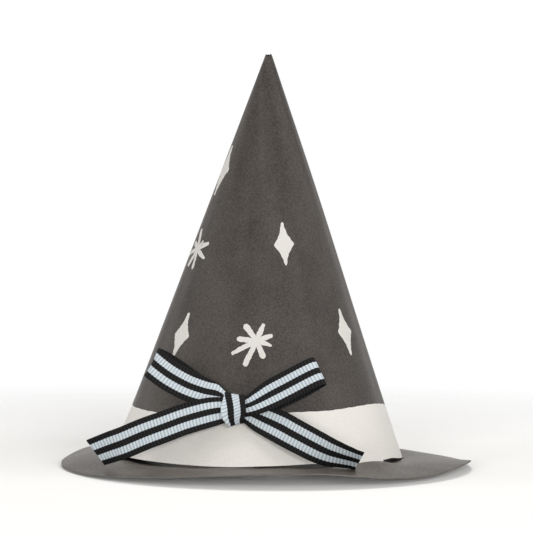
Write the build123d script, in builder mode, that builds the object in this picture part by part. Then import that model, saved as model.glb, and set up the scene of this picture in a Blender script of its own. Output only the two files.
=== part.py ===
"""Small paper witch hat with a grosgrain bow.

A card cone is rolled, lapped and glued up one side, its hem is cut into tabs, and the tabs pass
through the hole of a card brim and are folded out and glued beneath it.  A striped ribbon bow is
glued to the foot of the cone.

Frame: millimetres, +Z up, the ground at Z = 0, the centre of the brim on the Z axis, and the front
of the hat (the side with the bow) towards -Y.
"""
from build123d import *
from math import atan2, cos, degrees, hypot, radians, sin, tan
import os

os.makedirs("parts", exist_ok=True)

# ---------------------------------------------------------------- driving dimensions (mm, degrees)
CARD = 0.4                 # thickness of the card
GLUE = 0.1                 # film of glue between two layers of card
BRIM_D = 132.0             # brim, across
CROWN_FOOT_D = 92.4        # crown, across, at the hem between the tabs
CROWN_H = 127.65           # crown, from that hem to the cut tip
CROWN_TIP_D = 2.6          # crown, across, at the cut tip
CROWN_X = -2.87            # the crown stands this far to one side of the brim's centre
TIP_LEAN_X = 2.2           # how far the tip leans back over the foot
BRIM_FLAT_Z = 4.1          # underside of the flat inner zone of the brim
HOLE_GAP = 0.3             # tab to the edge of the brim's hole
HEM_RISE = 0.45            # hem between the tabs, above the brim's upper face

SEAM_AT = 190.0            # where the rolled card starts, from the front towards +X
SEAM_LAP = 11.0            # angle over which the card lies on itself
SEAM_RAMP = 10.0           # angle over which the card climbs from the lap to its full radius
SEAM_BARE = 1.0            # angle left bare of glue at each edge of the lap

TABS = 6
TAB_ANGLE = 30.0           # angle of one tab
TAB_AT = 43.5              # middle of the first tab, from the front towards +X
TAB_REACH = 4.0            # how far a tab reaches out under the brim from the hem's circle
GLUE_MARGIN = 0.5          # bare margin round each pad of tab glue

RIBBON_W = 9.5             # 3/8 inch ribbon
RIBBON_T = 0.45
BOW_AZIMUTH = -10.9        # where the bow sits, from the front towards +X
BOW_HEIGHT = 16.6          # middle of the knot above the hem
KNOT_W = 7.2               # the knot is one turn of ribbon, creased narrower than the ribbon
KNOT_H = 10.2
KNOT_TURN = 13.0           # the knot's turn leans this much
LAYER_GAP = 0.1            # between two layers of ribbon inside the knot
KNOT_ROUND = 1.2           # rounding of the knot's long edges
ROOT_W = 5.4               # the ribbon is gathered to this width at the knot
GATHER = 2.6               # over this length, before it spreads again
LOOP_LOW = 0.2             # lowest and highest levels of a loop above the bow's plane
LOOP_HIGH = 5.6
LEFT_LOOP_L = 27.4         # each loop, out from its root behind the knot
RIGHT_LOOP_L = 27.5
DOT_D = 5.0                # dot of glue behind the knot
DOT_T = 0.5                # that dot, at its middle

# Height of the brim's lower outer edge above the ground, as (angle from the front towards +X, mm).
# The card droops to the ground in two long arcs and arches up at the front and at the back.
EDGE_HEIGHTS = [(-180, 3.4), (-120, 1.8), (-95, 0.0), (-66, 0.0), (-54, 0.7), (-32, 2.4),
                (-12, 4.2), (3, 4.9), (22, 3.9), (37, 2.5), (48, 2.2), (62, 2.9), (84, 2.2),
                (106, 0.0), (136, 0.0), (180, 3.4)]
BRIM_STEP = 5              # angle between two sections of the brim

# ---------------------------------------------------------------- derived dimensions
BRIM_R = BRIM_D / 2
FOOT_R = CROWN_FOOT_D / 2
TIP_R = CROWN_TIP_D / 2
HEM_Z = BRIM_FLAT_Z + CARD + HEM_RISE
TAB_TOP_Z = BRIM_FLAT_Z - GLUE
TAB_LOW_Z = TAB_TOP_Z - CARD
LAP_STEP = CARD + GLUE
BOW_SCALE = RIBBON_W / 9.5      # the bow's paths are laid out for the 9.5 mm ribbon

# The cone leans.  A level cut through a leaning cone is round too, but its middle lies a little
# down the slope from the cone's axis, and that middle is what the brim's hole goes round.
CONE_L = hypot(CROWN_H, TIP_LEAN_X)
LEAN = atan2(TIP_LEAN_X, CROWN_H)
HALF_ANGLE = atan2(FOOT_R - TIP_R, CONE_L)
AXIS_SHIFT = FOOT_R * tan(LEAN) * tan(HALF_ANGLE)
cone = Plane(origin=(CROWN_X + AXIS_SHIFT, 0, HEM_Z), x_dir=(cos(LEAN), 0, -sin(LEAN)),
             z_dir=(sin(LEAN), 0, cos(LEAN)))
SKIRT = 2 * FOOT_R * sin(LEAN) + HEM_Z      # the card is drawn on below the hem, then cut level


def plan_angle(azimuth):
    """Angle in a level plane of an azimuth counted from the front (-Y) towards +X."""
    return azimuth - 90.0


def outward(azimuth):
    """Level unit vector that points out at an azimuth."""
    return Vector(sin(radians(azimuth)), -cos(radians(azimuth)), 0)


def ring_point(radius, angle):
    return radius * cos(radians(angle)), radius * sin(radians(angle))


def cone_radius(height):
    """Outer radius of the cone at a height along its axis."""
    return FOOT_R - height * tan(HALF_ANGLE)


FOLD_R = cone_radius(TAB_LOW_Z - HEM_Z)     # outer radius of the card where the tabs fold out
HOLE_R = FOLD_R + HOLE_GAP
FLAT_R = FOOT_R + TAB_REACH


# ---------------------------------------------------------------- crown: rolled card cone and tabs
LAP_START = plan_angle(SEAM_AT)
FULL_START = LAP_START + SEAM_LAP + SEAM_RAMP


def lap_climb(height):
    """Section of the flat panel by which the card climbs from under the lap to its full radius."""
    outer = cone_radius(height)
    start = LAP_START + SEAM_LAP
    with BuildSketch(cone.offset(height)) as card:
        with BuildLine():
            Polyline(ring_point(outer - LAP_STEP, start), ring_point(outer, FULL_START),
                     ring_point(outer - CARD, FULL_START),
                     ring_point(outer - LAP_STEP - CARD, start), close=True)
        make_face()
    return card.sketch.face()


def wall(outer_gap, thickness, low):
    """Edge-on outline of a layer of the cone: how far its outer face lies in from the cone's, how
    thick it is, and how far below the hem it starts."""
    return [(cone_radius(low) - outer_gap, low), (cone_radius(CONE_L) - outer_gap, CONE_L),
            (cone_radius(CONE_L) - outer_gap - thickness, CONE_L),
            (cone_radius(low) - outer_gap - thickness, low)]


def upright(frame, angle):
    """Plane through a frame's axis at an angle about it: x runs out from the axis, y along it."""
    turned_frame = Plane(frame.location * Rotation(0, 0, angle))
    return Plane(origin=frame.origin, x_dir=turned_frame.x_dir, z_dir=-turned_frame.y_dir)


cone_axis = Axis(cone.origin, cone.z_dir)
foot = Plane(origin=(CROWN_X, 0, 0))
foot_axis = Axis(foot.origin, foot.z_dir)
tab_starts = [plan_angle(TAB_AT + 360 / TABS * i - TAB_ANGLE / 2) for i in range(TABS)]
NOTCH_ANGLE = 360 / TABS - TAB_ANGLE

with BuildPart() as crown:
    with BuildSketch(upright(cone, FULL_START)):
        with BuildLine():
            Polyline(*wall(0, CARD, -SKIRT), close=True)
        make_face()
    revolve(axis=cone_axis, revolution_arc=360 - SEAM_RAMP)
    with BuildSketch(upright(cone, LAP_START)):
        with BuildLine():
            Polyline(*wall(LAP_STEP, CARD, -SKIRT), close=True)
        make_face()
    revolve(axis=cone_axis, revolution_arc=SEAM_LAP)
    loft([lap_climb(-SKIRT), lap_climb(CONE_L)], ruled=True)
    split(bisect_by=Plane(origin=(0, 0, TAB_LOW_Z)), keep=Keep.TOP)
    for start in tab_starts:
        with BuildSketch(foot):                         # the card between two tabs is cut away
            with BuildLine():
                Polyline((0, 0), ring_point(BRIM_R, start - NOTCH_ANGLE),
                         ring_point(BRIM_R, start), close=True)
            make_face()
        extrude(amount=HEM_Z, mode=Mode.SUBTRACT)
        with BuildSketch(upright(foot, start)):         # and each tab is folded out
            with Locations((FOLD_R - CARD / 2, TAB_LOW_Z)):
                Rectangle(FLAT_R - FOLD_R + CARD / 2, CARD, align=(Align.MIN, Align.MIN))
        revolve(axis=foot_axis, revolution_arc=TAB_ANGLE)

with BuildPart() as seam_glue:
    with BuildSketch(upright(cone, LAP_START + SEAM_BARE)):
        with BuildLine():
            Polyline(*wall(CARD, GLUE, -SKIRT), close=True)
        make_face()
    revolve(axis=cone_axis, revolution_arc=SEAM_LAP - 2 * SEAM_BARE)
    split(bisect_by=Plane(origin=(0, 0, HEM_Z)), keep=Keep.TOP)

with BuildPart() as tab_glue:
    margin = degrees(GLUE_MARGIN / FOOT_R)
    for start in tab_starts:
        with BuildSketch(upright(foot, start + margin)):
            with Locations((HOLE_R + GLUE_MARGIN, TAB_TOP_Z)):
                Rectangle(FLAT_R - HOLE_R - 2 * GLUE_MARGIN, GLUE, align=(Align.MIN, Align.MIN))
        revolve(axis=foot_axis, revolution_arc=TAB_ANGLE - 2 * margin)


# ---------------------------------------------------------------- brim: a card ring bent in waves
def slopes(stations):
    """Slope at each station of a closed run, level at its peaks, troughs and flats."""
    rises = [(h1 - h0) / (a1 - a0) for (a0, h0), (a1, h1) in zip(stations, stations[1:])]
    before = [rises[-1], *rises[:-1]]
    inner = [2 * p * q / (p + q) if p * q > 0 else 0 for p, q in zip(before, rises)]
    return [*inner, inner[0]]


def edge_height(azimuth):
    """Height of the brim's lower outer edge, smoothed from each listed height to the next."""
    azimuth = (azimuth + 180) % 360 - 180
    grade = slopes(EDGE_HEIGHTS)
    index = max(i for i, (a, h) in enumerate(EDGE_HEIGHTS[:-1]) if a <= azimuth)
    (a0, h0), (a1, h1) = EDGE_HEIGHTS[index:index + 2]
    span = a1 - a0
    t = (azimuth - a0) / span
    return (h0 * (2 * t ** 3 - 3 * t ** 2 + 1) + grade[index] * span * (t ** 3 - 2 * t ** 2 + t)
            + h1 * (3 * t ** 2 - 2 * t ** 3) + grade[index + 1] * span * (t ** 3 - t ** 2))


def brim_section(azimuth):
    """Upright section of the brim, out from the axis of the crown's foot: flat over the tabs, then
    straight to the height of the outer edge."""
    out = outward(azimuth)
    reach = -CROWN_X * out.X + (BRIM_R ** 2 - (CROWN_X * out.Y) ** 2) ** 0.5
    edge = Vector(CROWN_X, 0, 0) + out * reach
    edge_z = edge_height(degrees(atan2(edge.X, -edge.Y)))
    with BuildSketch(upright(foot, plan_angle(azimuth))) as card:
        with BuildLine():
            Polyline((HOLE_R, BRIM_FLAT_Z), (FLAT_R, BRIM_FLAT_Z), (reach, edge_z),
                     (reach, edge_z + CARD), (FLAT_R, BRIM_FLAT_Z + CARD),
                     (HOLE_R, BRIM_FLAT_Z + CARD), close=True)
        make_face()
    return card.sketch.face()


with BuildPart() as brim:
    for first, last in ((-70, 120), (120, 290)):      # both joins lie where the edge is on the ground
        loft([brim_section(a) for a in range(first, last + 1, BRIM_STEP)])

# ---------------------------------------------------------------- bow
# The bow's plane touches the cone behind the knot: x runs level to the right, y up the slope.
bow = Plane(cone.location * Rotation(0, 0, plan_angle(BOW_AZIMUTH))
            * Pos(cone_radius(BOW_HEIGHT), 0, BOW_HEIGHT)
            * Rotation(0, 90 - degrees(HALF_ANGLE), 0) * Rotation(0, 0, 90))

# Levels above that plane, from the crown outwards.
BACK = DOT_T
RIGHT_TAIL_LEVEL = BACK + RIBBON_T + LAYER_GAP
LOOP_LEVEL = RIGHT_TAIL_LEVEL + RIBBON_T + LAYER_GAP
LEFT_TAIL_LEVEL = LOOP_LEVEL + 2 * RIBBON_T + LAYER_GAP
FRONT = LEFT_TAIL_LEVEL + 2 * RIBBON_T + LAYER_GAP


def turned(plane, angle):
    """A plane turned about its own normal."""
    return Plane(plane.location * Rotation(0, 0, angle))


# The knot is a plain cushion; the loops and tails end face to face on its two sides.
across = turned(bow, KNOT_TURN)
knot_left = Plane(origin=across.origin - across.x_dir * KNOT_W / 2, z_dir=-across.x_dir)
knot_right = Plane(origin=across.origin + across.x_dir * KNOT_W / 2, z_dir=across.x_dir)

with BuildPart() as bow_knot:
    with BuildSketch(Plane(origin=across.origin, x_dir=across.y_dir, z_dir=across.x_dir)):
        with Locations((0, (BACK + FRONT) / 2)):
            RectangleRounded(KNOT_H, FRONT - BACK, KNOT_ROUND)
    extrude(amount=KNOT_W / 2, both=True)

with BuildPart() as bow_glue:
    with BuildSketch(bow):
        Circle(DOT_D / 2)
    extrude(amount=DOT_T)
    extrude(bow_glue.faces().sort_by(Axis(bow.origin, bow.z_dir))[0], amount=DOT_T)
    with Locations(cone.location):
        Cone(FOOT_R, TIP_R, CONE_L, align=(Align.CENTER, Align.CENTER, Align.MIN), mode=Mode.SUBTRACT)


def loop_outline(pinch, length, inset):
    """Edge-on outline of a loop from where its two layers part, moved in by an inset."""
    bottom, top = LOOP_LEVEL + inset, LOOP_LEVEL + 2 * RIBBON_T - inset
    low, high = LOOP_LOW + inset, LOOP_HIGH - inset
    end = length - (LOOP_HIGH - LOOP_LOW) / 2
    Spline((pinch, bottom), (length * 0.45, (bottom * 2 + low) / 3), (end, low),
           tangents=[(1, -0.02), (1, 0)])
    ThreePointArc((end, low), (length - inset, (low + high) / 2), (end, high))
    Spline((end, high), (length * 0.45, top * 0.6 + high * 0.4), (pinch, top),
           tangents=[(-1, 0), (-1, -0.06)])


def loop(root, heading, length):
    """One loop of the bow: a band seen edge on, cut to its plan and gathered towards the knot."""
    along, up = root
    frame = Plane(bow.location * Pos(BOW_SCALE * along, BOW_SCALE * up) * Rotation(0, 0, heading))
    side = Plane(origin=frame.origin, x_dir=frame.x_dir, z_dir=-frame.y_dir)
    bottom, top = LOOP_LEVEL, LOOP_LEVEL + 2 * RIBBON_T
    with BuildPart() as band:
        with BuildSketch(side):
            with BuildLine():
                loop_outline(GATHER, length, 0)
                Polyline((GATHER, top), (0, top), (0, bottom), (GATHER, bottom))
            make_face()
            with BuildLine():
                loop_outline(GATHER, length, RIBBON_T)
            make_face(mode=Mode.SUBTRACT)
        extrude(amount=RIBBON_W, both=True)
        with BuildSketch(frame):
            with BuildLine():
                plan = [(0, ROOT_W / 2), (GATHER, ROOT_W / 2), (3 * GATHER, RIBBON_W / 2),
                        (length + 1, RIBBON_W / 2)]
                Polyline(*plan, *[(x, -y) for x, y in reversed(plan)], close=True)
            make_face()
        extrude(amount=2 * RIBBON_W, both=True, mode=Mode.INTERSECT)
    return band.part


with BuildPart() as bow_left_loop:
    add(loop((-2.2, 0.4), 150.0, LEFT_LOOP_L))
    split(bisect_by=knot_left, keep=Keep.TOP)

with BuildPart() as bow_right_loop:
    add(loop((2.2, -0.8), 28.8, RIGHT_LOOP_L))
    split(bisect_by=knot_right, keep=Keep.TOP)


def tail_section(level, at, heading, tilt, cut, spread):
    """Section of a tail: at = (along, up, out) on the bow from a level, heading of the ribbon, tilt
    of its face about that heading, how far the cut is turned away from square, and how much of
    the ribbon's width is spread there."""
    along, up, out = (BOW_SCALE * length for length in at)
    ahead = bow.location * Pos(along, up, level + out) * Rotation(0, 0, heading)
    face = Plane(ahead * Rotation(tilt, 0, 0) * Rotation(0, 0, cut))
    with BuildSketch(Plane(origin=face.origin, x_dir=face.y_dir, z_dir=face.x_dir)) as outline:
        Rectangle(spread * RIBBON_W / cos(radians(cut)), RIBBON_T)
    return outline.sketch.face()


with BuildPart() as bow_left_tail:
    level = LEFT_TAIL_LEVEL + RIBBON_T / 2
    loft([tail_section(level, *station) for station in (
        ((-2.0, -0.6, 0.0), 188, 0, 0, 0.8),
        ((-6.0, -1.4, 0.6), 193, 0, 0, 0.93),
        ((-12.0, -3.5, 1.2), 199, 0, 0, 1.0),
        ((-21.0, -7.0, 0.9), 202, 0, 0, 1.0),
        ((-31.5, -11.0, -0.8), 201, 0, 0, 1.0),
        ((-42.2, -14.6, -3.2), 199, 0, 17, 1.0),
    )])
    split(bisect_by=knot_left, keep=Keep.TOP)

with BuildPart() as bow_right_tail:
    level = RIGHT_TAIL_LEVEL + RIBBON_T / 2
    loft([tail_section(level, *station) for station in (
        ((2.0, -0.6, 0.0), -18, 0, 0, ROOT_W / RIBBON_W),
        ((9.0, -3.1, -0.3), -22, 0, 0, 0.9),
        ((19.0, -7.1, -2.3), -23, -5, 0, 1.0),
        ((29.0, -10.8, -5.2), -19, -24, 0, 1.0),
        ((38.4, -12.7, -8.2), -11, -46, -6, 1.0),
    )])
    split(bisect_by=knot_right, keep=Keep.TOP)

# ---------------------------------------------------------------- export
for name, piece in {
    "crown": crown, "seam_glue": seam_glue, "tab_glue": tab_glue, "brim": brim,
    "bow_knot": bow_knot, "bow_glue": bow_glue,
    "bow_left_loop": bow_left_loop, "bow_right_loop": bow_right_loop,
    "bow_left_tail": bow_left_tail, "bow_right_tail": bow_right_tail,
}.items():
    piece.part.label = name
    export_step(piece.part, f"parts/{name}.step")
    box = piece.part.bounding_box()
    print(name, len(piece.part.solids()), "solid(s)", round(piece.part.volume, 2), "mm3",
          [round(v, 2) for v in (*box.min, *box.max)])
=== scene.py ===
"""Looks of the small paper witch hat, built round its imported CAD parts.

Shapes are worked out in millimetres in the CAD's frame and written to Blender in metres.  The
card pieces are cut as flat sheets and rolled or bent into place, and the bow's ribbons follow
paths laid in the plane that touches the cone behind the knot.  An azimuth is counted in degrees
from the front (-Y) towards +X, round the middle of the crown.
"""
import bpy
import random
from math import atan2, ceil, cos, exp, hypot, pi, radians, sin, tan
import numpy as np
from mathutils import Matrix, Vector
from mathutils.geometry import delaunay_2d_cdt
from mathutils.kdtree import KDTree


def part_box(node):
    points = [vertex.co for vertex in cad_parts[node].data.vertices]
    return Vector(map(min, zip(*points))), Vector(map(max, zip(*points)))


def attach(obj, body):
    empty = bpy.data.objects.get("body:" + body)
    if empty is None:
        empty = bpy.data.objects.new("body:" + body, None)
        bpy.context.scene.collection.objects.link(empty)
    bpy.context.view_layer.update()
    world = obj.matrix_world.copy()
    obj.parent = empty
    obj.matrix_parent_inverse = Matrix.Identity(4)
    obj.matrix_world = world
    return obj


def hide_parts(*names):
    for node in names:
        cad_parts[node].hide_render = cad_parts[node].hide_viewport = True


MM = 0.001
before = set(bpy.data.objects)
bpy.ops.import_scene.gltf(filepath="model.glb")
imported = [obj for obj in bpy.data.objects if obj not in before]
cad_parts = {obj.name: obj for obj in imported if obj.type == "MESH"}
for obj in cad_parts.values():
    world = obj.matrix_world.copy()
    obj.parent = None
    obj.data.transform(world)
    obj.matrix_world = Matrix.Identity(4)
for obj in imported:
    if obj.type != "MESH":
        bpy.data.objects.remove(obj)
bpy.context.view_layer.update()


def box_mm(node):
    """Lowest and highest corner of a CAD node, in millimetres."""
    return [np.array(corner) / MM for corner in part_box(node)]


# ---------------------------------------------------------------- sizes (mm, degrees)
CARD = 0.4                 # thickness of the card

# Crown
HEM_Z = 4.95               # hem of the crown between its tabs
FOOT_R = 46.2              # crown at the hem
TIP_R = 0.95               # crown at its cut tip
TIP_LEAN_X = 2.2           # how far towards +X the tip stands from the middle of the foot
TIP_WEAR = [(0.7, 4, 26), (-0.25, 48, 22), (0.8, 95, 22)]      # depth, azimuth and width of dips
SWELL = 0.42               # the rolled card bows out this far beyond a true cone
SWELL_AT = (88, 0.36)      # most at this azimuth and share of the way from apex to hem
SWELL_SPREAD = (42, 0.27)  # and how far it spreads in both
FLATS = [(6, 0.0052, 1.3), (13, 0.0038, 0.4), (23, 0.0018, 0)]      # count, share of radius, phase

SEAM_AT = 190.0            # where the rolled card starts, under its other edge
SEAM_LAP = 11.0            # angle over which the card lies on itself
SEAM_RAMP = 10.0           # angle over which it climbs from the lap to its full radius
LAP_STEP = 0.5             # how much further in the covered edge of the card lies
LAP_FROM = SEAM_AT - 360   # the covered edge, one turn back
LAP_TO = LAP_FROM + SEAM_LAP
LAP_CLEAR = LAP_TO + SEAM_RAMP
LAP_END = SEAM_AT + SEAM_LAP        # the edge that lies on top

# Tabs at the crown's hem, folded out under the brim
TABS = 6
TAB_ANGLE = 30.0
TAB_AT = 43.5              # middle of one tab
TAB_STARTS = [TAB_AT - TAB_ANGLE / 2 + 360 / TABS * k for k in range(-TABS // 2, TABS // 2)]
FRONT_TAB = 2              # the one nearest the front, in that list
TAB_TOP_Z = 4.0            # upper face of the folded tabs
FOLD_R = 0.15              # inner radius of the fold

# Brim
HOLE_R = 46.62             # hole of the brim where a tab passes down through it
HOLE_TIGHT_R = 46.05       # and under the hem between two tabs
HOLE_EASED = [(-47, 14), (15, 11), (62, 9)]     # azimuth and width where the latter is cut wider
BRIM_FLAT_R = 50.2         # the brim is level out to here
BRIM_FLAT_Z = 4.1          # underside of its level part
LOCAL_REACH = 5.0          # how far out from the hole the brim's short waves are felt
CURL_START = 0.18          # share of the way to the edge over which the droop sets in

# Heights and shifts round the hat, as (azimuth, mm).  EDGE_HEIGHTS goes round the brim's middle.
EDGE_HEIGHTS = [(-180, 3.4), (-120, 2.4), (-95, 0.85), (-78, 0.7), (-66, 0.55), (-54, 0.95),
                (-32, 2.35), (-12, 4.0), (3, 4.75), (13, 4.75), (22, 4.0), (30, 3.0), (37, 2.35),
                (48, 2.05), (62, 2.8), (71, 3.25), (79, 3.1), (88, 2.2), (97, 1.0), (108, 0.2),
                (128, 0.0), (180, 3.4)]      # underside of the brim at its edge
INNER_SHIFTS = [(-180, 0.0), (-95, 0.0), (-75, -0.2), (-47, -0.85), (-38, -0.65), (-31, -0.4),
                (-22, -0.35), (-12, 0.0), (0, 0.05), (9, 0.18), (21, 0.0), (30, 0.05), (40, 0.4),
                (48, 0.68), (55, 0.35), (60, -0.5), (65, -0.95), (75, -1.15), (90, -1.5),
                (105, -1.6), (130, -1.05), (150, -0.4), (180, 0.0)]      # of the brim at its hole
HEM_SHIFTS = [(-180, 0.0), (-60, -0.08), (-31, -0.2), (-20, -0.26), (-10, -0.2), (-2, 0.05),
              (9, 0.3), (21, 0.6), (30, 0.6), (59, -0.02), (66, -0.04), (73, -0.6), (80, -1.15),
              (92, -1.8), (110, -1.65), (130, -1.05), (150, -0.4), (180, 0.0)]      # of the hem

# Print on the crown
BAND_TOP = [(-180, 16.7), (-120, 16.5), (-77, 15.8), (-48, 15.45), (19, 17.1), (30, 17.1),
            (54, 18.0), (62, 18.05), (70, 17.65), (79, 17.0), (92, 15.5), (140, 16.6),
            (210, 16.7)]      # upper edge of the pale band, up the slope from the hem's level
BAND_WANDER = [(0.05, 0.9), (0.03, 2.3)]        # how far its line strays, and how often
BAND_CLEAR = 0.2           # the band stops this far above the underside of the brim at a tab
SPARKLE_H, SPARKLE_W = 14.0, 6.9    # a sparkle's mean height and width
BURST_RAYS = 8             # strokes in a burst
BURST_R = 6.5              # mean length of a burst's strokes
BURST_STRETCH = 1.5        # they are up to this much longer on one side, and shorter opposite
STROKE_W, VALLEY_W = 0.85, 0.75     # half width of a stroke along its middle, and at its root
STARS = [("sparkle", -71, 90.0, 1.2, 0, 0), ("burst", -64.5, 64.9, 1.0, -16, 1),
         ("sparkle", 16.6, 67.3, 1.0, 1, 2), ("sparkle", -50, 38.0, 1.1, -5, 3),
         ("burst", -2.4, 37.6, 1.0, 0, 4), ("sparkle", 55.2, 40.3, 1.06, 0, 5),
         ("burst", 118, 38, 1.0, 20, 6), ("sparkle", 166, 40, 1.0, 0, 7),
         ("burst", -104, 36, 1.0, -10, 8), ("sparkle", -146, 42, 1.1, 4, 9),
         ("burst", 124, 71, 0.95, 8, 10), ("sparkle", 178, 65, 1.0, -4, 11),
         ("sparkle", -126, 71, 1.0, 0, 12), ("burst", 140, 98, 0.8, 0, 13),
         ("sparkle", -150, 97, 0.9, 0, 14)]      # kind, azimuth, height, size, turn, random seed

# Bow
BOW_AZIMUTH = -10.9        # where the middle of the knot lies, round the crown
BOW_HEIGHT = 16.6          # and above its hem
RIB_PITCH = 1.06           # from one rib of the ribbon to the next
RIBBON_HALF_T = 0.15       # half the ribbon's thickness between two ribs
RIB_DEPTH = 0.075          # how much a rib adds to that
RIB_ROUND = 0.6            # below 1, ribs are broad and the grooves between them narrow
RIB_SCALLOP = 0.006        # how much wider the ribbon is at a rib, as a share
EDGE_THIN = (0.45, 0.5)    # share of the thickness at its edge, and mm in which that grows by 1
CUT_FROM = 0.6             # share of a ribbon's length from which its cut end begins to slant

# Fineness of the meshes
ARC_STEP = 2.5             # degrees along a line round the crown
TIP_STEP = 8               # degrees round its tip
CROWN_STEP = 2.6           # mm between two rings of points on the crown
SPARSE_BELOW = 30          # this near the apex, a ring has half as many points
LINE_CLEAR = 0.5           # these points stay this far away from printed lines
BRIM_RINGS, BRIM_STEPS = 20, 720            # rings of points on the brim, and points round each
RIBBON_STEP, RIBBON_ACROSS = 0.13, 30       # mm along a ribbon, and strips across it
CURVE_POINTS = 40          # points worked out between two stations of a ribbon

# ---------------------------------------------------------------- places taken from the frame
crown_low, crown_high = box_mm("crown")
brim_low, brim_high = box_mm("brim")
FOOT_X = (crown_low[0] + crown_high[0]) / 2     # middle of the crown's foot
TAB_R = (crown_high[1] - crown_low[1]) / 2      # outer ends of the tabs
CROWN_H = crown_high[2] - HEM_Z                 # hem to tip
BRIM_R = (brim_high[0] - brim_low[0]) / 2

# ---------------------------------------------------------------- the leaning cone
CONE_L = hypot(CROWN_H, TIP_LEAN_X)
LEAN = atan2(TIP_LEAN_X, CROWN_H)
HALF = atan2(FOOT_R - TIP_R, CONE_L)
AXIS = np.array([sin(LEAN), 0, cos(LEAN)])
SIDE = np.array([cos(LEAN), 0, -sin(LEAN)])
BACK = np.array([0, 1, 0])
FOOT = np.array([FOOT_X + FOOT_R * tan(LEAN) * tan(HALF), 0, HEM_Z])
APEX = FOOT + AXIS * FOOT_R / tan(HALF)
SLANT = FOOT_R / sin(HALF)          # apex to hem along the card


def radial(azimuth):
    """Unit vectors square to the cone's axis at azimuths in degrees."""
    a = np.radians(azimuth)[..., None]
    return SIDE * np.sin(a) - BACK * np.cos(a)


def slant_at(azimuth, z):
    """Distance from the apex, along the card, at which it meets a level."""
    drop = cos(HALF) * AXIS[2] - sin(HALF) * radial(np.asarray(azimuth, float))[..., 2]
    return (APEX[2] - z) / drop


def smooth(x):
    x = np.clip(x, 0, 1)
    return x * x * (3 - 2 * x)


def eased(stations, azimuth):
    """Height round the hat, smoothed from each listed height to the next without overshoot."""
    places, heights = np.array(stations, float).T
    spans = np.diff(places)
    rises = np.diff(heights) / spans
    before, after = np.r_[rises[-1], rises], np.r_[rises, rises[0]]
    level = before * after <= 0
    grade = np.where(level, 0, 2 * before * after / np.where(level, 1, before + after))
    azimuth = (np.asarray(azimuth, float) + 180) % 360 - 180
    i = np.searchsorted(places, azimuth, side="right") - 1
    t = (azimuth - places[i]) / spans[i]
    return (heights[i] * (2 * t ** 3 - 3 * t ** 2 + 1) + heights[i + 1] * (3 * t ** 2 - 2 * t ** 3)
            + spans[i] * (grade[i] * (t ** 3 - 2 * t ** 2 + t) + grade[i + 1] * (t ** 3 - t ** 2)))


def fold_slants(azimuth):
    """Where the card turns out into a tab, as a distance from the apex."""
    level = TAB_TOP_Z + eased(INNER_SHIFTS, azimuth)
    return slant_at(azimuth, level + FOLD_R * (1 - sin(HALF)))


def card_swell(azimuth, slant):
    """How far the rolled card stands off a true cone: it bows out a little on one side, and has
    faint flats along its length from rolling, which fade out above the hem."""
    share = slant / SLANT
    round_off = (azimuth - SWELL_AT[0]) / SWELL_SPREAD[0]
    along_off = (share - SWELL_AT[1]) / SWELL_SPREAD[1]
    swell = SWELL * np.exp(-round_off ** 2 - along_off ** 2)
    a = np.radians(azimuth)
    flats = sum(depth * np.sin(count * a + phase) for count, depth, phase in FLATS)
    return swell + flats * slant * sin(HALF) * smooth((1 - share) * 6)


def rolled(azimuth, slant):
    """Points and outward normals of the card's outer face, from its flat pattern.  Past the fold
    the card belongs to a tab and lies level."""
    out = radial(azimuth)
    fold_at = fold_slants(azimuth)
    along = np.minimum(slant, fold_at)
    lap = -LAP_STEP * (1 - smooth((azimuth - LAP_TO) / (LAP_CLEAR - LAP_TO)))
    radius = along * sin(HALF) + lap + card_swell(azimuth, along)
    place = APEX - AXIS * (along * cos(HALF))[:, None] + out * radius[:, None]
    level = out * [1, 1, 0]
    level /= np.linalg.norm(level, axis=1)[:, None]
    past = np.maximum(slant - fold_at, 0)
    steep = pi / 2 - HALF
    turn = np.maximum(steep - past / FOLD_R, 0)
    straight = np.maximum(past - FOLD_R * steep, 0)
    place += level * (FOLD_R * (sin(steep) - np.sin(turn)) + straight)[:, None]
    place[:, 2] -= FOLD_R * (np.cos(turn) - cos(steep))
    normal = level * np.sin(turn)[:, None]
    normal[:, 2] = np.cos(turn)
    return place, normal


# ---------------------------------------------------------------- meshes
def new_object(name, vertices, faces, materials, face_materials=None, sharp=(), uv=None):
    """A mesh object from points in millimetres; sharp is a set of vertex pairs."""
    mesh = bpy.data.meshes.new(name)
    mesh.from_pydata((np.asarray(vertices) * MM).tolist(), [], faces)
    for material in materials:
        mesh.materials.append(material)
    if face_materials is not None:
        mesh.polygons.foreach_set("material_index", face_materials)
    mesh.polygons.foreach_set("use_smooth", [True] * len(mesh.polygons))
    if sharp:
        for edge in mesh.edges:
            edge.use_edge_sharp = tuple(sorted(edge.vertices)) in sharp
    if uv is not None:
        layer = mesh.uv_layers.new(name="weave")
        for loop in mesh.loops:
            layer.data[loop.index].uv = uv[loop.vertex_index]
    mesh.update()
    thing = bpy.data.objects.new(name, mesh)
    bpy.context.scene.collection.objects.link(thing)
    return thing


def shell(name, outer, inner, faces, materials, face_materials, inner_material, edge_material,
          uv=None):
    """A closed sheet from its outer face, the matching points of its inner face, and a rim."""
    count = len(outer)
    sides = {(a, b): None for face in faces for a, b in zip(face, [*face[1:], face[0]])}
    rim = [(a, b) for a, b in sides if (b, a) not in sides]
    every = [*faces, *[tuple(i + count for i in reversed(face)) for face in faces],
             *[(b, a, a + count, b + count) for a, b in rim]]
    index = [*face_materials, *[inner_material] * len(faces), *[edge_material] * len(rim)]
    sharp = {tuple(sorted((a + k, b + k))) for a, b in rim for k in (0, count)}
    if uv is not None:
        uv = [*uv, *uv]
    return new_object(name, np.vstack([outer, inner]), every, materials, index, sharp, uv)


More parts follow.
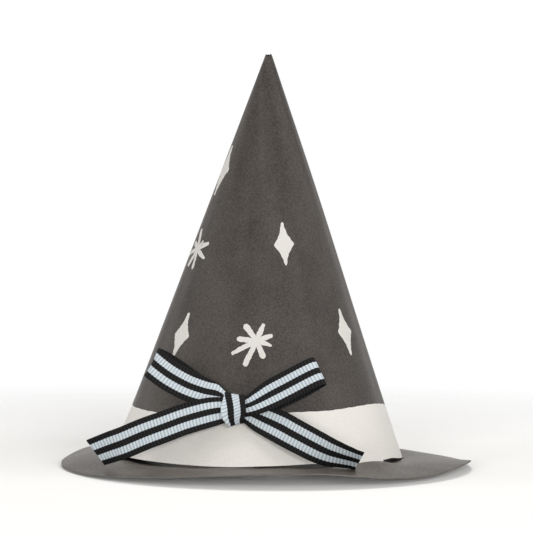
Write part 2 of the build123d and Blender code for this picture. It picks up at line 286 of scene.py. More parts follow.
# ---------------------------------------------------------------- printed figures
def dry_edge(points, dice, amount=0.11, step=0.5):
    """An outline with the uneven edge of dry paint: its sides are divided, and points strayed."""
    uneven = []
    for (x0, y0), (x1, y1) in zip(points, [*points[1:], points[0]]):
        pieces = max(1, round(hypot(x1 - x0, y1 - y0) / step))
        for piece in range(pieces):
            share = piece / pieces
            uneven.append((x0 + (x1 - x0) * share + dice.uniform(-amount, amount),
                           y0 + (y1 - y0) * share + dice.uniform(-amount, amount)))
    return uneven


def sparkle(dice):
    """A tall four-pointed star, widest at its waist, with blunt points and hollow sides."""
    points_of = {1: (dice.uniform(0.95, 1.04) * SPARKLE_H / 2, dice.uniform(0.4, 0.52), 1.9),
                 -1: (dice.uniform(0.96, 1.06) * SPARKLE_H / 2, dice.uniform(0.38, 0.5), 1.8)}
    reaches = {1: dice.uniform(0.94, 1.06) * SPARKLE_W / 2,
               -1: dice.uniform(0.88, 1.0) * SPARKLE_W / 2}
    rise = dice.uniform(0.1, 0.5)       # of the waist, towards its right end
    outline = []
    for side, climb in ((1, 1), (-1, 1), (-1, -1), (1, -1)):
        height, blunt, hollow = points_of[climb]
        quarter = []
        for share in (0.03, 0.08, 0.15, 0.24, 0.35, 0.48, 0.63, 0.8, 0.94):
            bulk = (1 - share) ** hollow
            quarter.append((side * (blunt + (reaches[side] - blunt) * bulk),
                            climb * height * share + side * rise * (1 - share) ** 2))
        quarter.append((side * 0.5 * blunt, climb * height))
        outline += quarter if side * climb > 0 else quarter[::-1]
    return dry_edge(outline, dice)


def burst(dice):
    """Brush strokes of uneven length and weight out from one middle."""
    turn = 360 / BURST_RAYS
    angles = [radians(76 - turn * ray + dice.uniform(-11, 11)) for ray in range(BURST_RAYS)]
    outline = []
    for ray, angle in enumerate(angles):
        stretch = BURST_STRETCH * sin(radians(turn * ray + 250))
        length = BURST_R + stretch + dice.uniform(-1.7, 1.7)
        end = dice.uniform(0.45, 1.0)       # radius of the stroke's round end
        half = [(0.45 * length, STROKE_W), (length - end, end), (length - 0.3 * end, 0.7 * end)]
        stroke = [*half, (length, 0), *[(x, -y) for x, y in reversed(half)]]
        outline += [(x * cos(angle) - y * sin(angle), x * sin(angle) + y * cos(angle))
                    for x, y in stroke]
        half_gap = (angle - angles[(ray + 1) % BURST_RAYS]) % (2 * pi) / 2
        valley = VALLEY_W / sin(half_gap)
        outline.append((valley * cos(angle - half_gap), valley * sin(angle - half_gap)))
    return dry_edge(outline[::-1], dice)


# ---------------------------------------------------------------- the crown's flat pattern
CROWN_INK, CROWN_BAND, CROWN_INSIDE, CROWN_CUT, CROWN_STAR = range(5)      # its materials


def to_flat(azimuth, slant):
    turn = radians(azimuth) * sin(HALF)
    return slant * sin(turn), -slant * cos(turn)


def from_flat(points):
    points = np.asarray(points)
    turn = np.arctan2(points[:, 0], -points[:, 1])
    return np.degrees(turn) / sin(HALF), np.hypot(points[:, 0], points[:, 1])


def arc(first, last, slant, step=ARC_STEP):
    """Flat points along the card from one azimuth to another; slant is a function of azimuth."""
    count = max(1, ceil(abs(last - first) / step))
    return [to_flat(a, slant(a)) for a in np.linspace(first, last, count + 1)]


def hump(azimuth, middle, width):
    return exp(-((azimuth - middle) / width) ** 2)


def tip_slant(azimuth):
    """The cut tip, with a nick at the front and a shoulder worn down at the right."""
    return sum((depth * hump(azimuth, *place) for depth, *place in TIP_WEAR), TIP_R / sin(HALF))


def hem_slant(azimuth):
    """The hem stands off the brim between the tabs, and rises and falls a little on its way."""
    return float(slant_at(azimuth, HEM_Z + eased(HEM_SHIFTS, azimuth)))


def along_fold(azimuth, depth):
    """A line along the fold of a tab: depth is 0 where the fold begins and 1 where it ends."""
    return float(fold_slants(azimuth)) + depth * FOLD_R * (pi / 2 - HALF)


def tab_end_slant(azimuth):
    """End of a tab.  Its fold already carries the card outwards by about the fold's radius."""
    fold_at = fold_slants(azimuth)
    reach = TAB_R - fold_at * sin(HALF)
    return float(fold_at + FOLD_R * (pi / 2 - HALF) + reach) - FOLD_R


def band_slant(azimuth):
    """Upper edge of the pale band, a hand-drawn line."""
    places, heights = np.array(BAND_TOP).T
    up = sum(np.interp(azimuth + shift, places, heights) for shift in (-2, 0, 2)) / 3
    wander = sum(amount * sin(azimuth * rate) for amount, rate in BAND_WANDER)
    return float(slant_at(azimuth, HEM_Z)) - up - wander


def band_foot_slant(azimuth):
    """Lower edge of the band's print: off the card between the tabs, in line with the hem at the
    front tab, and just above the brim's underside at the others."""
    for tab, start in enumerate(TAB_STARTS):
        if start < azimuth < start + TAB_ANGLE:
            # At the front tab the print stops at the hem's level, leaving a thin strip of the bare
            # dark card down to the brim: a painted shadow line where the hem meets it.
            if tab == FRONT_TAB:
                return hem_slant(azimuth)
            level = BRIM_FLAT_Z + BAND_CLEAR + eased(INNER_SHIFTS, azimuth)
            return float(slant_at(azimuth, level))
    return SLANT * 2


def crown_outline():
    """Round the flat crown: along its hem and tabs, and back along its cut tip."""
    hem, place = [], LAP_FROM
    for start in TAB_STARTS:
        hem += arc(place, start, hem_slant)
        hem += arc(start, start + TAB_ANGLE, tab_end_slant)
        place = start + TAB_ANGLE
    hem += arc(place, LAP_END, hem_slant)
    return hem + arc(LAP_END, LAP_FROM, tip_slant, TIP_STEP)


def star_outline(kind, azimuth, height, size, lean, seed):
    """A star's outline, moved to its place on the flat crown."""
    figure = {"sparkle": sparkle, "burst": burst}[kind](random.Random(seed))
    figure = [(x * size, y * size) for x, y in figure]
    turn = radians(azimuth) * sin(HALF) + radians(lean)
    x0, y0 = to_flat(azimuth, SLANT - height / cos(HALF))
    return [(x0 + x * cos(turn) - y * sin(turn), y0 + x * sin(turn) + y * cos(turn))
            for x, y in figure]


class Pattern:
    """Points of the flat crown, and the lines between them that its mesh has to follow."""

    def __init__(self):
        self.points, self.edges, self.figures = [], [], []

    def draw(self, line, closed=False):
        first = len(self.points)
        self.points.extend(line)
        self.edges.extend((first + i, first + i + 1) for i in range(len(line) - 1))
        if closed:
            self.edges.append((first + len(line) - 1, first))
            self.figures.append(list(range(first, first + len(line))))

    def fill(self):
        """Adds rings of points wherever they stay clear of the lines."""
        lines = KDTree(4 * len(self.edges))
        for a, b in self.edges:
            for share in (0, 0.25, 0.5, 0.75):
                x, y = np.array(self.points[a]) * (1 - share) + np.array(self.points[b]) * share
                lines.insert((x, y, 0), 0)
        lines.balance()
        for slant in np.arange(TIP_R / sin(HALF) + 2, SLANT, CROWN_STEP):
            step = ARC_STEP if slant > SPARSE_BELOW else 2 * ARC_STEP
            for azimuth in np.arange(LAP_FROM + step, LAP_END, step):
                x, y = to_flat(azimuth, slant)
                if slant < hem_slant(azimuth) and lines.find((x, y, 0))[2] > LINE_CLEAR:
                    self.points.append((x, y))

    def triangles(self):
        """Flat points, the triangles in the outline, and the figures that each one lies in."""
        made = delaunay_2d_cdt([Vector(p) for p in self.points], self.edges, self.figures, 1, 1e-6)
        return np.array([tuple(v) for v in made[0]]), [tuple(face) for face in made[2]], made[5]


def crown_pattern():
    """The flat crown: its points, its triangles and the material each one shows outside."""
    pattern = Pattern()
    pattern.draw(crown_outline(), closed=True)
    for star in STARS:
        pattern.draw(star_outline(*star), closed=True)
    pattern.draw(arc(LAP_FROM + 0.01, LAP_END - 0.01, band_slant, 1.0))
    for start in TAB_STARTS:
        across = start + 0.02, start + TAB_ANGLE - 0.02       # clear of the tab's corners
        pattern.draw(arc(*across, band_foot_slant))
        for depth in (0.0, 0.5, 1.0):
            pattern.draw(arc(*across, lambda azimuth, depth=depth: along_fold(azimuth, depth)))
    pattern.fill()
    flat, triangles, figures = pattern.triangles()
    azimuth, slant = from_flat(flat[np.array(triangles)].mean(axis=1))
    paint = []
    for a, s, inside_of in zip(azimuth, slant, figures):
        if band_slant(a) < s < band_foot_slant(a):
            paint.append(CROWN_BAND)
        else:       # figure 0 is the outline, and the others are stars
            paint.append(CROWN_STAR if any(figure > 0 for figure in inside_of) else CROWN_INK)
    return flat, triangles, paint


def make_crown(materials):
    flat, triangles, paint = crown_pattern()
    azimuth, slant = from_flat(flat)
    outer, normal = rolled(azimuth, slant)
    a, b, c = (outer[[t[k] for t in triangles]] for k in range(3))
    outward = np.einsum("ij,ij->i", np.cross(b - a, c - a), normal[[t[0] for t in triangles]])
    triangles = [t if good > 0 else t[::-1] for t, good in zip(triangles, outward)]
    return shell("crown_card", outer, outer - normal * CARD, triangles, materials, paint,
                 CROWN_INSIDE, CROWN_CUT)


# ---------------------------------------------------------------- brim
def hole_radius(azimuth):
    """The brim's hole, eased open where a tab passes and where the hem stands off the brim."""
    centres = [start + TAB_ANGLE / 2 for start in TAB_STARTS]
    beyond = min(abs((azimuth - centre + 180) % 360 - 180) for centre in centres) - TAB_ANGLE / 2
    widened = sum(smooth(1.6 * hump(azimuth, *place)) for place in HOLE_EASED)      # flat-topped
    tight = smooth(beyond - 0.3) * (1 - widened)
    return HOLE_R - (HOLE_R - HOLE_TIGHT_R) * float(tight)


def make_brim(materials):
    """The brim, bent from a flat ring: level near its hole but for short waves there, then
    drooping or arching towards its edge."""
    rings, around = BRIM_RINGS, BRIM_STEPS
    azimuths = 360 * np.arange(around) / around - 180
    out = np.stack([np.sin(np.radians(azimuths)), -np.cos(np.radians(azimuths)), 0 * azimuths], 1)
    reaches = -FOOT_X * out[:, 0] + (BRIM_R ** 2 - (FOOT_X * out[:, 1]) ** 2) ** 0.5
    edge = [FOOT_X, 0, 0] + out * reaches[:, None]
    outer = eased(EDGE_HEIGHTS, np.degrees(np.arctan2(edge[:, 0], -edge[:, 1])))
    inner = eased(INNER_SHIFTS, azimuths)
    around_each = range(-36, 37, 6)       # the shifts averaged over these leave the long waves
    broad = np.mean([eased(INNER_SHIFTS, azimuths + turn) for turn in around_each], axis=0)
    holes = [hole_radius(azimuth) for azimuth in azimuths]
    low = []
    for ring in range(rings + 1):
        for step, reach in enumerate(reaches):
            radius = holes[step] + (reach - holes[step]) * ring / rings
            local = exp(-((radius - holes[step]) / LOCAL_REACH) ** 2)
            flat_z = BRIM_FLAT_Z + broad[step] + (inner[step] - broad[step]) * local
            drop = outer[step] - flat_z
            bend = max(0.0, (radius - BRIM_FLAT_R) / (reach - BRIM_FLAT_R))
            ease = (1 + CURL_START) * bend * bend / (bend + CURL_START)
            low.append(np.array([FOOT_X, 0, flat_z + drop * ease]) + out[step] * radius)
    low = np.array(low)
    faces = []
    for ring in range(rings):
        for step in range(around):
            a = ring * around + step
            b = ring * around + (step + 1) % around
            faces.append((a, b, b + around, a + around))
    faces = [tuple(reversed(face)) for face in faces]
    return shell("brim_card", low + [0, 0, CARD], low, faces, materials, [0] * len(faces), 1, 2)


def make_tab_glue(materials):
    """A thin pad of dried glue between each tab and the brim."""
    top, faces = [], []
    around, rings = 14, 3
    thickness, side_margin, hole_margin, end_margin = 0.1, 0.7, 0.8, 0.6
    for start in TAB_STARTS:
        for ring in range(rings + 1):
            for step in range(around + 1):
                azimuth = start + side_margin + (TAB_ANGLE - 2 * side_margin) * step / around
                width = TAB_R - HOLE_R - (hole_margin + end_margin)
                radius = HOLE_R + hole_margin + width * ring / rings
                top.append([FOOT_X + radius * sin(radians(azimuth)),
                            -radius * cos(radians(azimuth)),
                            BRIM_FLAT_Z + eased(INNER_SHIFTS, azimuth)])
                if ring < rings and step < around:
                    a = len(top) - 1
                    faces.append((a, a + around + 1, a + around + 2, a + 1))
    top = np.array(top)
    faces = [tuple(reversed(face)) for face in faces]
    return shell("tab_glue_pads", top, top - [0, 0, thickness], faces, materials,
                 [0] * len(faces), 0, 0)


# ---------------------------------------------------------------- bow
# The bow's plane touches the cone: BOW_O is the knot's middle on it, and BOW_U, BOW_V and BOW_N
# are its directions along, up and out.
bow_radius = FOOT_R - BOW_HEIGHT * tan(HALF)
bow_out = radial(np.array([BOW_AZIMUTH]))[0]
BOW_N = bow_out * cos(HALF) + AXIS * sin(HALF)
BOW_V = AXIS * cos(HALF) - bow_out * sin(HALF)
BOW_U = np.cross(BOW_V, BOW_N)
BOW_O = FOOT + AXIS * BOW_HEIGHT + bow_out * bow_radius


def follow(stations, step):
    """Evenly spaced values along a Catmull-Rom curve through stations, whose first three numbers
    are a place.  Returns the values and the distance of each from the start."""
    stations = np.array(stations, float)
    padded = np.vstack([2 * stations[0] - stations[1], stations, 2 * stations[-1] - stations[-2]])
    fine = []
    for p0, p1, p2, p3 in zip(padded, padded[1:], padded[2:], padded[3:]):
        for t in np.linspace(0, 1, CURVE_POINTS, endpoint=False):
            fine.append(0.5 * (2 * p1 + (p2 - p0) * t + (2 * p0 - 5 * p1 + 4 * p2 - p3) * t ** 2
                               + (3 * p1 - p0 - 3 * p2 + p3) * t ** 3))
    fine = np.array([*fine, stations[-1]])
    walked = np.r_[0, np.cumsum(np.linalg.norm(np.diff(fine[:, :3], axis=0), axis=1))]
    places = np.linspace(0, walked[-1], max(2, round(walked[-1] / step)) + 1)
    return np.array([np.interp(places, walked, column) for column in fine.T]).T, places


def ribbon_axes(values):
    """Middle line of a ribbon, and its unit vectors ahead, across and out of its face."""
    middle = values[:, :3]
    ahead = np.gradient(middle, axis=0)
    ahead /= np.linalg.norm(ahead, axis=1)[:, None]
    side = np.radians(values[:, 3])
    tilt = np.radians(values[:, 4])
    across = np.stack([np.cos(side) * np.cos(tilt), np.sin(side) * np.cos(tilt), np.sin(tilt)], 1)
    across -= ahead * np.einsum("ij,ij->i", across, ahead)[:, None]
    across /= np.linalg.norm(across, axis=1)[:, None]
    face = np.cross(ahead, across)
    face *= np.sign(face[0, 2])
    return middle, ahead, across, face


def ribbon(name, stations, materials, cut=0.0, skew=0.0):
    """A ribbon with real ribs.  Each station is (along, up, out) on the bow's plane, the direction
    of the ribbon's upper edge, the tilt of that edge out of the plane, the width there, how far
    the middle is arched forward, and the shares of the stripes at its lower and upper edges where
    some are folded out of sight.  cut slants the far end, and skew the ribs."""
    values, places = follow([(*station, 0, 1)[:9] for station in stations], RIBBON_STEP)
    middle, ahead, across, face = ribbon_axes(values)
    length = places[-1]
    front, back, weave = [], [], []
    for i, place in enumerate(places):
        width, arch, first, last = values[i, 5:9]
        far = max(0, (place - length * CUT_FROM) / (length * (1 - CUT_FROM)))
        for share in np.linspace(0, 1, RIBBON_ACROSS + 1):
            shift = cut * (share - 0.5) * far
            cord = (place + shift - skew * (share - 0.5)) / RIB_PITCH
            rib = abs(cos(pi * cord)) ** RIB_ROUND
            from_edge = min(share, 1 - share) * width
            thinned = min(1, EDGE_THIN[0] + from_edge / EDGE_THIN[1])
            thick = (RIBBON_HALF_T + RIB_DEPTH * rib) * thinned
            reach = width * (share - 0.5) * (1 + RIB_SCALLOP * rib)
            spot = (middle[i] + across[i] * reach + ahead[i] * shift
                    + face[i] * arch * (1 - (2 * share - 1) ** 2))
            front.append(spot + face[i] * thick)
            back.append(spot - face[i] * thick)
            weave.append((cord, first + (last - first) * share))
    row = RIBBON_ACROSS + 1
    corners = [i * row + j for i in range(len(places) - 1) for j in range(RIBBON_ACROSS)]
    faces = [(a, a + 1, a + row + 1, a + row) for a in corners]
    front, back = (BOW_O + np.array(p) @ np.array([BOW_U, BOW_V, BOW_N]) for p in (front, back))
    a, b, c = (front[k] for k in faces[0][:3])
    if np.dot(np.cross(b - a, c - a), front[0] - back[0]) < 0:
        faces = [tuple(reversed(f)) for f in faces]
    return shell(name, front, back, faces, materials, [0] * len(faces), 0, 1, weave)


LEFT_LOOP = [(-2.5, 2.8, 2.7, 80, 0, 3.6, 0.6, 0.1, 0.9),
             (-4.2, 3.2, 3.0, 82, 0, 5.8, 0.6, 0, 0.88),
             (-5.9, 3.5, 3.4, 82, 0, 7.8, 0.4, 0, 0.88),
             (-9.6, 4.4, 3.8, 76, 1, 8.8, 0.1, 0, 0.95),
             (-14.7, 6.1, 4.5, 68, 2, 9.5, 0.0),
             (-20.1, 8.6, 5.2, 63, 1, 9.6, 0.0),
             (-24.2, 11.2, 5.5, 66, 0, 9.6, 0.0),
             (-26.0, 12.8, 4.4, 70, 0, 9.6, 0.0),
             (-25.9, 13.3, 2.6, 69, 0, 9.4, 0.0),
             (-23.4, 12.4, 1.3, 64, 0, 9.5, 0.0),
             (-19.1, 9.9, 0.9, 62, 0, 9.5, 0.0),
             (-13.0, 6.2, 0.9, 66, 0, 9.0, 0.0),
             (-7.0, 3.6, 1.2, 76, 0, 7.4, 0.2),
             (-2.4, 2.0, 1.6, 90, 0, 5.2, 0.4)]
RIGHT_LOOP = [(3.4, 0.1, 2.8, 100, 0, 6.0, 0.8),
              (5.8, 0.9, 3.3, 104, 0, 6.9, 0.6),
              (8.2, 2.2, 3.7, 111, 0, 8.0, 0.3),
              (11.9, 4.4, 4.3, 116, 0, 9.2, 0.0),
              (16.3, 6.8, 4.9, 118, 0, 9.4, 0.0),
              (21.4, 9.7, 5.5, 119, 0, 9.4, 0.0),
              (24.6, 11.5, 5.5, 119, 0, 9.4, 0.0),
              (26.0, 12.3, 4.6, 119, 0, 9.4, 0.0),
              (25.9, 12.4, 2.8, 119, 0, 9.3, 0.0),
              (24.0, 11.5, 1.4, 118, 0, 9.3, 0.0),
              (19.9, 9.0, 0.9, 118, 0, 9.3, 0.0),
              (14.6, 5.9, 0.9, 117, 0, 9.1, 0.0),
              (9.4, 3.0, 1.0, 112, 0, 8.4, 0.1),
              (5.0, 0.6, 1.3, 104, 0, 6.8, 0.3),
              (3.0, 0.0, 1.6, 100, 0, 6.0, 0.4)]
LEFT_TAIL = [(-1.6, -0.9, 3.1, 98, 4, 7.4, 0.3),
             (-4.4, -1.5, 3.8, 100, 5, 8.6, 0.3),
             (-8.4, -2.7, 4.4, 103, 6, 9.4, 0.2),
             (-14.6, -4.9, 4.6, 108, 7, 9.6, 0.0),
             (-20.6, -7.4, 4.3, 110, 9, 9.7, 0.0),
             (-27.0, -10.0, 3.8, 110, 12, 9.8, 0.0),
             (-33.2, -12.7, 2.9, 111, 17, 9.8, 0.0),
             (-36.9, -13.8, 1.7, 115, 28, 9.8, 0.0),
             (-42.4, -15.4, -0.4, 119, 40, 9.8, 0.0)]
RIGHT_TAIL = [(2.4, 0.0, 1.6, 58, 0, 4.6, 0.6),
              (3.6, -0.6, 1.7, 60, 2, 5.6, 0.5),
              (5.2, -1.3, 1.8, 64, 3, 7.0, 0.4),
              (8.6, -2.6, 1.9, 66, 5, 8.9, 0.1),
              (14.7, -5.1, 1.7, 65, 6, 9.9, 0.0),
              (18.5, -6.9, 1.5, 64, 9, 9.9, 0.0),
              (22.7, -8.8, 0.9, 64, 12, 9.8, 0.0),
              (26.4, -10.4, 0.2, 65, 18, 9.7, 0.0),
              (30.1, -11.7, -0.8, 66, 33, 9.6, 0.0),
              (33.9, -12.5, -1.7, 69, 50, 9.5, 0.0),
              (37.1, -13.1, -2.3, 73, 60, 9.5, 0.0),
              (39.6, -13.7, -2.5, 77, 62, 9.5, 0.0)]
KNOT = [(0.3, 3.0, 0.7, 172, 0, 5.6, 0.2, 1, 0.42),
        (0.3, 4.3, 1.8, 172, 0, 5.8, 0.2, 1, 0.42),
        (0.3, 4.1, 3.5, 174, 0, 6.1, 0.4, 1, 0.4),
        (0.5, 2.2, 4.6, 186, 0, 6.8, 0.6, 1, 0.32),
        (0.65, -0.8, 5.0, 195, 0, 7.7, 0.7, 1, 0.2),
        (0.95, -3.2, 4.5, 200, 0, 7.2, 0.6, 1, 0.2),
        (1.3, -4.7, 3.4, 200, 0, 5.2, 0.4, 1, 0.26),
        (1.5, -5.1, 2.0, 198, 0, 4.8, 0.2, 1, 0.3),
        (1.4, -4.1, 0.9, 198, 0, 4.8, 0.2, 1, 0.3)]


# ---------------------------------------------------------------- materials
def srgb(r, g, b):
    """A colour written as 0-255 screen values."""
    return [((v / 255 + 0.055) / 1.055) ** 2.4 if v > 10 else v / 255 / 12.92
            for v in (r, g, b)] + [1]


class Nodes:
    """A node tree, with one call per node.  An input is named as its socket, with _ for a space,
    or i and its place in the node's list."""

    def __init__(self, owner):
        owner.use_nodes = True
        self.tree = owner.node_tree
        self.tree.nodes.clear()

    def put(self, value, socket):
        if isinstance(value, bpy.types.NodeSocket):
            self.tree.links.new(value, socket)
        else:
            socket.default_value = value

    def add(self, kind, settings=None, **inputs):
        node = self.tree.nodes.new(kind)
        for key, value in (settings or {}).items():
            setattr(node, key, value)
        for key, value in inputs.items():
            key = int(key[1:]) if key[0] == "i" and key[1:].isdigit() else key.replace("_", " ")
            self.put(value, node.inputs[key])
        return node

    def math(self, operation, a, b=0.0):
        return self.add("ShaderNodeMath", {"operation": operation}, i0=a, i1=b).outputs[0]


class Shader(Nodes):
    """A material's node tree."""

    def __init__(self, name):
        self.material = bpy.data.materials.new(name)
        super().__init__(self.material)

    def noise(self, where, scale, detail=2.0):
        return self.add("ShaderNodeTexNoise", Vector=where, Scale=scale, Detail=detail).outputs[0]

    def spread(self, value, low, high, to_low=0.0, to_high=1.0):
        return self.add("ShaderNodeMapRange", i0=value, i1=low, i2=high, i3=to_low,
                        i4=to_high).outputs[0]

    def mix(self, share, a, b):
        return self.add("ShaderNodeMix", {"data_type": "RGBA"}, i0=share, i6=a, i7=b).outputs[2]

    def where(self, stretch=(1, 1, 1)):
        spot = self.add("ShaderNodeTexCoord").outputs["Object"]
        return self.add("ShaderNodeMapping", Vector=spot, Scale=stretch).outputs[0]

    def bump(self, height, strength, distance):
        return self.add("ShaderNodeBump", Strength=strength, Distance=distance,
                        Height=height).outputs[0]

    def surface(self, **inputs):
        return self.finish(self.add("ShaderNodeBsdfPrincipled", **inputs))

    def finish(self, node):
        self.add("ShaderNodeOutputMaterial", Surface=node.outputs[0])
        return self.material


def card_material(name, dark, pale, roughness, grain=0.12, gloss=0.3, painted_shade_streaks=0.0, grit=2000):
    """Uncoated card: mottled, finely speckled, with short fibres in its surface.  Its streak
    strength sets how strongly lengthwise bands of painted shade and sheen are coloured in; they
    stand in for the light on the rolled card's faint flats and run together at its tip.  grit is
    how fine the speckle is."""
    s = Shader(name)
    where = s.where()
    speckle = s.noise(where, grit, 3)
    mottle = s.noise(where, 90, 4)
    fibres = s.noise(s.where((1, 1, 0.25)), 3200, 2)
    blend = s.math("ADD", s.spread(speckle, 0.34, 0.66, 0.0, 0.75),
                   s.spread(mottle, 0.35, 0.65, 0.0, 0.25))
    # Painted shade and sheen: lengthwise bands, lighter and darker round the crown, for the light
    # on the rolled card's faint flats.
    if painted_shade_streaks:
        spot = s.add("ShaderNodeSeparateXYZ", Vector=where)
        round_hat = s.math("ARCTAN2", s.math("SUBTRACT", spot.outputs[0], FOOT_X * MM),
                           s.math("MULTIPLY", spot.outputs[1], -1))
        unrolled = s.add("ShaderNodeCombineXYZ", X=round_hat,
                         Y=s.math("MULTIPLY", spot.outputs[2], 6)).outputs[0]
        blend = s.math("ADD", blend, s.spread(s.noise(unrolled, 2.4, 1.5), 0.35, 0.65,
                                              -painted_shade_streaks, painted_shade_streaks))
    height = s.math("ADD", speckle, s.math("MULTIPLY", fibres, 0.6))
    return s.surface(Base_Color=s.mix(blend, dark, pale), Normal=s.bump(height, grain, 0.06 * MM),
                     Specular_IOR_Level=gloss,
                     Roughness=s.spread(fibres, 0.3, 0.7, roughness - 0.06, roughness + 0.06))


STRIPE_DARK, STRIPE_PALE = (0, 0, 0, 1), (1, 1, 1, 1)
STRIPES = [(0.18, STRIPE_PALE), (0.395, STRIPE_DARK), (0.605, STRIPE_PALE), (0.82, STRIPE_DARK)]


def ribbon_material():
    """Grosgrain: five woven stripes, rounded cords across them and fine threads along them."""
    s = Shader("grosgrain")
    weave = s.add("ShaderNodeUVMap", {"uv_map": "weave"}).outputs[0]
    parts = s.add("ShaderNodeSeparateXYZ", Vector=weave)
    cord, across = parts.outputs[0], parts.outputs[1]
    phase = s.math("MULTIPLY", cord, 2 * pi)
    ridge = s.spread(s.math("COSINE", phase), -1, 1)
    stepped = s.math("ADD", across, s.math("MULTIPLY", s.math("SINE", phase), 0.006))
    ramp = s.add("ShaderNodeValToRGB", Fac=stepped)
    ramp.color_ramp.interpolation = "CONSTANT"
    elements = ramp.color_ramp.elements
    elements.remove(elements[1])
    elements[0].color = STRIPE_DARK
    for position, share in STRIPES:
        elements.new(position).color = share
    scaled = s.add("ShaderNodeMapping", Vector=weave, Scale=(1, 70, 1)).outputs[0]
    threads = s.noise(scaled, 2.6, 2)
    # Painted shade: the pale stripes are coloured darker in the grooves between the cords.
    painted_groove_shade = s.spread(ridge, 0.0, 0.75, 1, 0)
    pale = s.mix(painted_groove_shade, srgb(212, 221, 227), srgb(163, 175, 184))
    pale = s.mix(s.spread(threads, 0.35, 0.75, 0, 0.35), pale, srgb(178, 190, 199))
    # Painted highlight and shade: the dark stripes are coloured lighter on the cords' ridges and
    # nearly black in their grooves.
    dark = s.mix(s.spread(ridge, 0.2, 1), srgb(5, 5, 6), srgb(32, 31, 32))
    dark = s.mix(s.spread(threads, 0.4, 0.8, 0, 0.45), dark, srgb(42, 41, 42))
    height = s.math("ADD", s.math("MULTIPLY", ridge, 0.3), threads)
    return s.surface(Base_Color=s.mix(ramp.outputs[0], dark, pale),
                     Normal=s.bump(height, 0.35, 0.08 * MM),
                     Roughness=s.spread(threads, 0.3, 0.7, 0.62, 0.78), Specular_IOR_Level=0.12)


def thread_end_material():
    """The ribbon's own edge, where dark cord ends show."""
    s = Shader("ribbon_edge")
    fuzz = s.noise(s.where(), 4000, 3)
    colour = s.mix(s.spread(fuzz, 0.35, 0.65), srgb(14, 14, 15), srgb(38, 38, 40))
    return s.surface(Base_Color=colour, Normal=s.bump(fuzz, 0.5, 0.1 * MM),
                     Roughness=s.spread(fuzz, 0.3, 0.7, 0.7, 0.85), Specular_IOR_Level=0.12)


def glue_material():
    """Dried clear glue, cloudy and slightly uneven."""
    s = Shader("dried_glue")
    cloud = s.noise(s.where(), 700, 3)
    return s.surface(Base_Color=s.mix(cloud, srgb(214, 206, 188), srgb(235, 230, 218)),
                     Normal=s.bump(cloud, 0.3, 0.1 * MM),
                     Roughness=s.spread(cloud, 0.3, 0.7, 0.3, 0.5))


# The crown's card, with lengthwise bands of painted shade and sheen.
ink = card_material("black_card", srgb(53, 49, 47), srgb(85, 80, 76), roughness=0.46,
                    gloss=0.17, painted_shade_streaks=0.18)
# The brim's card is a lighter, warmer copy of the crown's: painted light standing in for its upper
# face catching more light from above and its sheen seen at a low angle.
brim_ink_painted_light = card_material("black_card_brim_painted_light", srgb(54, 50, 46), srgb(101, 94, 87), roughness=0.34,
                         grain=0.2, gloss=0.06, grit=1200)
print_pale = card_material("pale_print", srgb(224, 221, 216), srgb(232, 230, 226),
                           roughness=0.55, grain=0.06)
star_paint = card_material("star_paint", srgb(210, 207, 203), srgb(221, 219, 215),
                           roughness=0.55, grain=0.08)
# The back of the card: its own dark colour with painted shade added, darker than the printed face,
# for the dark inside of the crown and the shade under the brim seen through the gap at the hem.
inside_with_painted_shade = card_material("card_inside_painted_shade", srgb(30, 29, 28), srgb(42, 40, 38), roughness=0.75)
cut_edge = card_material("card_cut_edge", srgb(92, 88, 84), srgb(120, 115, 110),
                         roughness=0.85, grain=0.3)
grosgrain = ribbon_material()
cord_ends = thread_end_material()
glue = glue_material()

# ---------------------------------------------------------------- pieces
cloth = [grosgrain, cord_ends]
dressed = {
    "crown": (make_crown([ink, print_pale, inside_with_painted_shade, cut_edge, star_paint]), "card"),
    "brim": (make_brim([brim_ink_painted_light, inside_with_painted_shade, cut_edge]), "card"),
    "tab_glue": (make_tab_glue([glue]), "glue"),
    "bow_left_loop": (ribbon("ribbon_left_loop", LEFT_LOOP, cloth), "ribbon"),
    "bow_right_loop": (ribbon("ribbon_right_loop", RIGHT_LOOP, cloth), "ribbon"),
    "bow_left_tail": (ribbon("ribbon_left_tail", LEFT_TAIL, cloth, cut=1.0), "ribbon"),
    "bow_right_tail": (ribbon("ribbon_right_tail", RIGHT_TAIL, cloth, cut=2.2), "ribbon"),
    "bow_knot": (ribbon("ribbon_knot", KNOT, cloth, skew=2.2), "ribbon"),
}
for node, (piece, slot) in dressed.items():
    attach(piece, "root")
    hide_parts(node)
for node in ("seam_glue", "bow_glue"):       # these stay the CAD's own solids
    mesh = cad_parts[node].data
    mesh.materials.clear()
    mesh.materials.append(glue)


# ---------------------------------------------------------------- floor, light and camera
FLOOR_REACH = 1400
FLOOR_FADE = (100, 320)       # the floor fades out between these distances from the hat's middle
AMBIENT = 0.28
LAMP_COLOUR = (1.0, 0.985, 0.96)
LAMPS = [("softbox_top", (-20, -90, 720), (300, 240), 2.1, (-20, -60, 0)),
         ("softbox_front", (260, -910, 250), (350, 220), 2.6, (0, 0, 60)),
         ("softbox_fill", (-200, -930, 85), (240, 120), 1.8, (0, 0, 60)),
         ("softbox_left", (-740, -120, 160), (400, 400), 1.2, (0, 0, 60)),
         ("softbox_right", (660, -260, 150), (400, 400), 1.45, (0, 0, 60))]
CAMERA_AT = (-0.467, -800, 92.5)
CAMERA_DOWN, CAMERA_ROLL = 2.01, 0.5
CAMERA_LENS = 167.7


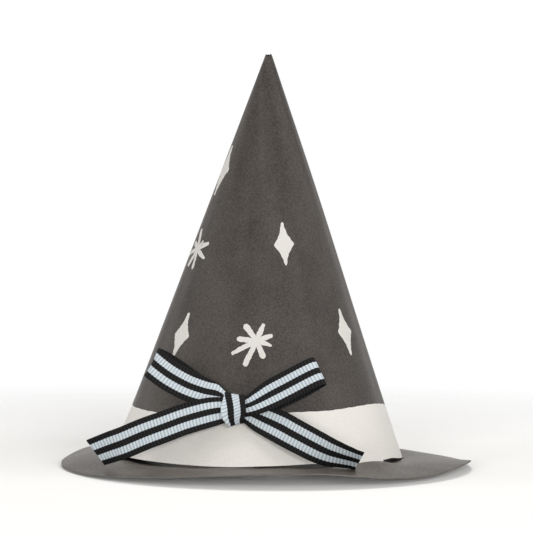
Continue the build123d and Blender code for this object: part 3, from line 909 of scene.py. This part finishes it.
def make_floor():
    """A pale floor that fades into the white background away from the object."""
    rings, around = 40, 96
    points = [(0, 0, 0)]
    for ring in range(1, rings + 1):
        radius = FLOOR_REACH * (ring / rings) ** 2
        points += [(radius * cos(2 * pi * k / around), radius * sin(2 * pi * k / around), 0)
                   for k in range(around)]
    faces = [(0, 1 + k, 1 + (k + 1) % around) for k in range(around)]
    for ring in range(rings - 1):
        a = 1 + ring * around
        faces += [(a + k, a + around + k, a + around + (k + 1) % around, a + (k + 1) % around)
                  for k in range(around)]
    s = Shader("studio_floor")
    spot = s.add("ShaderNodeTexCoord").outputs["Object"]
    far = s.add("ShaderNodeVectorMath", {"operation": "LENGTH"}, i0=spot).outputs["Value"]
    fade = s.spread(far, FLOOR_FADE[0] * MM, FLOOR_FADE[1] * MM)
    paper = s.add("ShaderNodeBsdfDiffuse", Color=(0.88, 0.88, 0.88, 1), Roughness=1.0)
    clear = s.add("ShaderNodeBsdfTransparent")
    mixed = s.add("ShaderNodeMixShader", i0=fade, i1=paper.outputs[0], i2=clear.outputs[0])
    floor = new_object("studio_floor", points, faces, [s.finish(mixed)])


def make_world():
    """White where it is looked at or mirrored, and a plain even light otherwise."""
    world = bpy.data.worlds.new("studio")
    bpy.context.scene.world = world
    n = Nodes(world)
    ray = n.add("ShaderNodeLightPath").outputs
    seen = n.math("MAXIMUM", ray["Is Camera Ray"], ray["Is Glossy Ray"])
    seen = n.math("MAXIMUM", seen, ray["Is Transmission Ray"])
    lit = n.add("ShaderNodeBackground", Color=(1.0, 0.99, 0.975, 1), Strength=AMBIENT)
    white = n.add("ShaderNodeBackground", Color=(1, 1, 1, 1), Strength=1.0)
    mixed = n.add("ShaderNodeMixShader", i0=seen, i1=lit.outputs[0], i2=white.outputs[0])
    n.add("ShaderNodeOutputWorld", Surface=mixed.outputs[0])


def softbox(name, place, size, watts, aim):
    """A rectangular lamp; size is its width and height."""
    lamp = bpy.data.lights.new(name, "AREA")
    lamp.shape = "RECTANGLE"
    lamp.size, lamp.size_y = size[0] * MM, size[1] * MM
    lamp.energy = watts
    lamp.color = LAMP_COLOUR
    box = bpy.data.objects.new(name, lamp)
    box.location = Vector(place) * MM
    box.rotation_euler = (Vector(aim) - Vector(place)).to_track_quat("-Z", "Y").to_euler()
    bpy.context.scene.collection.objects.link(box)


def make_camera():
    """A long lens in front of the hat, a little above its middle."""
    camera = bpy.data.cameras.new("camera")
    camera.lens = CAMERA_LENS
    camera.sensor_width = 36
    camera.clip_start, camera.clip_end = 0.01, 20
    holder = bpy.data.objects.new("camera", camera)
    holder.location = Vector(CAMERA_AT) * MM
    turned = (Matrix.Rotation(radians(90 - CAMERA_DOWN), 3, "X")
              @ Matrix.Rotation(radians(CAMERA_ROLL), 3, "Z"))
    holder.rotation_euler = turned.to_euler()
    bpy.context.scene.collection.objects.link(holder)
    bpy.context.scene.camera = holder


make_floor()
make_world()
for lamp in LAMPS:
    softbox(*lamp)
make_camera()
bpy.context.scene.view_settings.view_transform = "Standard"
